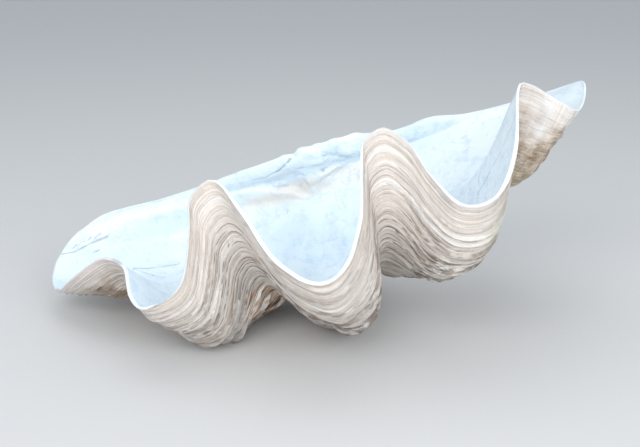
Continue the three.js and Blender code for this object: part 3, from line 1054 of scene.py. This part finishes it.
# %% Worn shell, flakes and weed
BROWN, BUFF, SAND = srgb(148, 127, 108), srgb(186, 168, 149), srgb(216, 204, 190)
BLOTCH_BROWN, STREAK_BROWN = srgb(166, 144, 122), srgb(138, 114, 93)
PEAT, RUST, PALE_RUST, FLAKE_WHITE = (
    srgb(82, 64, 50), srgb(178, 128, 86), srgb(204, 184, 164), srgb(246, 242, 236),
)
WEED_GREEN = srgb(186, 190, 158)
speckle = noise(position, 95, detail=4.0, roughness=0.65)
blotch = noise(position, 28, detail=3.0, roughness=0.6)
wrinkles = layer_noise(0.8, 90, detail=4.0, roughness=0.65)
worn_colour = ramp(speckle, (0.30, BROWN), (0.5, BUFF), (0.66, SAND))
worn_colour = mix(between(blotch, 0.45, 0.7, 0, 0.45), worn_colour, BLOTCH_BROWN)
worn_colour = mix(between(spokes, 0.46, 0.6, 0, 0.35), worn_colour, STREAK_BROWN)
worn_colour = shaded(worn_colour, between(wrinkles, 0.38, 0.58, 0.74, 1.12))
rust = ramp(
    layer_noise(4.0, 50, detail=3.0, roughness=0.6),
    (0.38, PEAT), (0.45, RUST), (0.52, PALE_RUST), (0.58, FLAKE_WHITE),
)
outer = mix(mask("worn"), outer, worn_colour)
outer = mix(between(mask("flakes"), 0.15, 0.55, 0, 0.92), outer, rust)
outer = mix(times(mask("weed"), between(blotch, 0.3, 0.6, 0.2, 0.5)), outer, WEED_GREEN)
print("with worn shell:", len(tree.nodes), "nodes")

# %% [markdown]
# ### Creases and worm holes
#
# A few fine creases in the porcelain, and two worm holes low on the ribs, are too thin for the mesh and
# too few for a noise. They are drawn from the distance to a line: dark on it, fading out beside it. One of
# the lines inside is painted shade along the edge of a fold's flank, and the dark brown of the worm holes
# is painted shade for holes that the mesh doesn't have.

# %% Lines given by their points
CREASES_AND_SHADE_LINE = [  # points along the crease (x, y, z in mm, before the shell is laid), half width, strength
    ([(-252, -41, -19), (-239, -38, -20), (-225, -31, -19), (-208, -25, -18)], 1.1, 0.7),
    ([(-245, -39, -16), (-242, -37, -15), (-240, -36, -16), (-237, -33, -16)], 0.9, 0.7),
    ([(-230, -31, -14), (-227, -31, -14), (-223, -28, -15)], 0.9, 0.7),
    ([(-220, -28, -16), (-218, -27, -15), (-214, -25, -15)], 0.9, 0.6),
    ([(-223, -35, -26), (-220, -33, -27), (-218, -32, -26)], 0.9, 0.6),
    ([(-171, -140, -19), (-192, -80, -45), (-192, -39, -52), (-171, -36, -60), (-152, -33, -64)], 1.3, 0.55),
    ([(-192, -39, -52), (-180, -43, -60), (-171, -47, -65)], 0.9, 0.45),
    # painted shade, not a crease: the shadow line along the edge of a fold's flank inside the bowl
    ([(167, -159, -1), (151, -157, -26), (140, -147, -40), (128, -138, -54)], 1.2, 0.5),
    ([(-61, -9, -13), (-51, -10, -14), (-39, -15, -10), (-27, -20, -5), (-18, -21, 1)], 0.8, 0.7),
    ([(-82, -1, -25), (-58, -1, -25), (-40, -3, -27), (-27, -4, -27), (-17, -8, -27)], 1.1, 0.4),
    ([(22, -22, -5), (21, -20, -12), (27, -13, -17)], 0.8, 0.7),
    ([(2, -9, -23), (4, -8, -23)], 1.8, 0.6),
]
WORM_HOLES = [  # given in the same way
    ([(-71, -184, -25), (-71, -183, -23)], 1.7, 0.9),
    ([(55.5, -175.5, -56), (55.7, -175, -58)], 2.0, 0.8),
]
FLATTEN = np.array([1, 1, 0.2])  # heights count less, so that a crease shows a little off its line too


def near_line(path, half_width):
    """1 on a line through these points, falling to 0 at its half width. The distance to each straight
    piece is that to its nearest point, start + way * share, with the share held between 0 and 1."""
    nearest = None
    flat = vector_math("MULTIPLY", {0: position, 1: FLATTEN.tolist()})
    spots = (lying(np.array(path, float)) * FLATTEN).tolist()
    for start, end in zip(spots[:-1], spots[1:]):
        way = np.subtract(end, start)
        offset = vector_math("SUBTRACT", {0: flat, 1: start})
        dot = node("VectorMath", {0: offset, 1: (way / (way @ way)).tolist()}, operation="DOT_PRODUCT")
        share = math_("ADD", dot.outputs["Value"], 0.0, clamp=True)
        foot = vector_math("SCALE", {0: way.tolist(), "Scale": share})
        gap = node("VectorMath", {0: offset, 1: foot}, operation="DISTANCE").outputs["Value"]
        nearest = gap if nearest is None else math_("MINIMUM", nearest, gap)
    shaky = times(nearest, between(noise(position, 160), 0.3, 0.7, 0.6, 1.8))
    return between(shaky, 0, half_width * MM, 1, 0)


def drawn(base, lines, line_colour):
    """The base colour with these lines drawn on it."""
    for path, half_width, strength in lines:
        base = mix(times(near_line(path, half_width), strength), base, line_colour)
    return base


print(len(CREASES_AND_SHADE_LINE), "creases and", len(WORM_HOLES), "worm holes")

# %% [markdown]
# ### Porcelain
#
# The inside is dense and smooth, white with a cold tint, and beige in the zone below the hinge. The cold
# tint is partly the porcelain's own and partly painted sky light. The lip is the whitest part. Plain white
# would look like plaster, so wide clouds, a bluish mottle and a few grey pocks go under the gloss.

# %% Porcelain
# the two milk whites carry a cold tint, partly the porcelain's own and partly painted sky light
SKY_TINTED_MILK, SKY_TINTED_COLD_MILK, BLUISH = srgb(223, 233, 238), srgb(213, 228, 239), srgb(194, 211, 228)
POCK_GREY, STAIN_BEIGE, LIP_CHALK = srgb(176, 190, 206), srgb(216, 207, 196), srgb(228, 232, 233)
# grey of the creases and of one painted shade line; dark brown of the painted shade in the worm holes
CREASE_AND_SHADE_GREY, HOLE_SHADE_BROWN = srgb(136, 149, 160), srgb(92, 84, 78)
porcelain = mask("porcelain")
cloud = noise(position, 9, detail=3.0)
mottle = noise(position, 75, detail=4.0, roughness=0.7)
smudge = noise(position, 130, detail=4.0, roughness=0.7, distortion=0.6)
pocks = times(between(smudge, 0.60, 0.68), between(blotch, 0.5, 0.6))
inner = mix(between(cloud, 0.35, 0.7), SKY_TINTED_MILK, SKY_TINTED_COLD_MILK)
inner = mix(between(mottle, 0.50, 0.66, 0, 0.55), inner, BLUISH)
inner = mix(times(pocks, 0.5), inner, POCK_GREY)
inner = mix(times(mask("stain"), between(blotch, 0.35, 0.65, 0.3, 0.75)), inner, STAIN_BEIGE)
inner = drawn(inner, CREASES_AND_SHADE_LINE, CREASE_AND_SHADE_GREY)
inner = mix(mask("lip"), inner, LIP_CHALK)
# painted shade: dark spots for two worm holes that the mesh doesn't have
outer = drawn(outer, WORM_HOLES, HOLE_SHADE_BROWN)
colour = mix(porcelain, outer, inner)
print("with porcelain:", len(tree.nodes), "nodes")

# %% [markdown]
# The bevel of the first rib is bare broken shell, paler than the layers. A thin grey line parts it from
# the porcelain, where the bevel mask runs out on the inward side.

# %% The bevel
BEVEL_PALE, BEVEL_GREY = srgb(228, 219, 214), srgb(158, 162, 168)
bevel = mask("bevel")
inward_side = times(porcelain, between(bevel, 0.75, 0.98, 1, 0))
colour = mix(between(bevel, 0.3, 0.8, 0, 0.85), colour, BEVEL_PALE)
colour = mix(times(between(bevel, 0.1, 0.4), inward_side, 0.6), colour, BEVEL_GREY)
print("with the bevel:", len(tree.nodes), "nodes")

# %% [markdown]
# ### Relief too fine for the mesh
#
# Lines finer than a millimetre and the grain of worn shell go in as bump. The porcelain has next to
# none, and shines softly where the outside is matt.

# %% Bump and shader
WORN_GRAIN, SHADE_LINE_GROOVE, MOTTLE_RELIEF = 2.2, 0.8, 0.25  # heights, in shares of the bump's distance
BUMP_HEIGHT, BUMP_STRENGTH = 0.0009, 0.9  # metres, and the share of it that shows
CHALK_ROUGHNESS, PORCELAIN_ROUGHNESS = 0.72, 0.34
chalky = math_("SUBTRACT", 1.0, porcelain)
powder = times(noise(position, 420, roughness=0.6), 0.4)
fine = times(math_("ADD", layer_noise(3.2, 30, detail=3.0, roughness=0.6), powder), chalky)
knobs = noise(position, 150, detail=5.0, roughness=0.65)
grain = math_("ADD", knobs, layer_noise(2.0, 60, detail=3.0, roughness=0.6))
relief = math_("ADD", fine, times(grain, mask("worn"), WORN_GRAIN))
# the bump also sinks a little along the painted shade lines
relief = math_("SUBTRACT", relief, times(step_shade, sound, SHADE_LINE_GROOVE))
relief = math_("ADD", relief, times(mottle, porcelain, MOTTLE_RELIEF))
bump = node("Bump", {"Height": relief, "Distance": BUMP_HEIGHT, "Strength": BUMP_STRENGTH})
finish = node("BsdfPrincipled", {
    "Base Color": colour,
    "Roughness": between(porcelain, 0, 1, CHALK_ROUGHNESS, PORCELAIN_ROUGHNESS),
    "Normal": bump.outputs[0],
})
node("OutputMaterial", {"Surface": finish.outputs[0]})
mesh.materials.append(shell)
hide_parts("clam_shell")
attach(valve, "root")
print("the material has", len(tree.nodes), "nodes")

# %% [markdown]
# ## Stage, light and camera
#
# A pale floor that reaches far past the shell, and a bright plain sky that fills the folds with light. Two
# large soft lamps from the front left and right round the ribs, and a weak one above lights the bowl. A
# sun would draw hard shadows in every groove.

# %% Stage
REACH = 8.0  # metres each way
corners = [(-REACH, -REACH, 0), (REACH, -REACH, 0), (REACH, REACH, 0), (-REACH, REACH, 0)]
floor_mesh = bpy.data.meshes.new("floor")
floor_mesh.from_pydata(corners, [], [(0, 1, 2, 3)])
floor = bpy.data.objects.new("floor", floor_mesh)
bpy.context.scene.collection.objects.link(floor)
floor_paint = bpy.data.materials.new("floor_paint")
floor_paint.use_nodes = True
paint = floor_paint.node_tree.nodes["Principled BSDF"]
paint.inputs["Base Color"].default_value = grey(0.6)
paint.inputs["Roughness"].default_value = 0.9
floor_mesh.materials.append(floor_paint)

# %% Light
SKY, SKY_STRENGTH = (0.86, 0.93, 1.0, 1.0), 0.72
LAMPS = [  # name, place in metres, size in metres, power in watts
    ("key", (-0.45, -1.35, 1.0), 0.9, 14),
    ("fill", (0.8, -1.4, 0.8), 1.0, 13),
    ("top", (-0.1, 0.2, 1.7), 1.2, 5),
]
MIDDLE = (0.0, 0.0, 0.11)  # what they face
world = bpy.data.worlds.new("sky")
world.use_nodes = True
world.node_tree.nodes["Background"].inputs["Color"].default_value = SKY
world.node_tree.nodes["Background"].inputs["Strength"].default_value = SKY_STRENGTH
bpy.context.scene.world = world


def soft_light(name, place, size, power):
    """A square area light at a place, facing MIDDLE."""
    data = bpy.data.lights.new(name, "AREA")
    data.size, data.energy = size, power
    lamp = bpy.data.objects.new(name, data)
    lamp.location = place
    way = Vector(MIDDLE) - Vector(place)
    lamp.rotation_euler = way.to_track_quat("-Z", "Y").to_euler()
    bpy.context.scene.collection.objects.link(lamp)


for lamp_row in LAMPS:
    soft_light(*lamp_row)
print(len(LAMPS), "lamps, together", sum(row[-1] for row in LAMPS), "W")

# %% Camera
AIM = (0.0060, 0.0143, 0.096)
DISTANCE, RAISED = 0.83, math.radians(18)
LENS, SENSOR = 55, 36  # mm
camera = bpy.data.objects.new("camera", bpy.data.cameras.new("camera"))
camera.data.lens, camera.data.sensor_width = LENS, SENSOR
camera.location = (AIM[0], AIM[1] - DISTANCE * math.cos(RAISED), AIM[2] + DISTANCE * math.sin(RAISED))
camera.rotation_euler = (math.pi / 2 - RAISED, 0, 0)
bpy.context.scene.collection.objects.link(camera)
bpy.context.scene.camera = camera
bpy.context.scene.view_settings.view_transform = "Standard"
print("the camera is", DISTANCE, "m away,", round(camera.location.z, 2), "m above the floor")
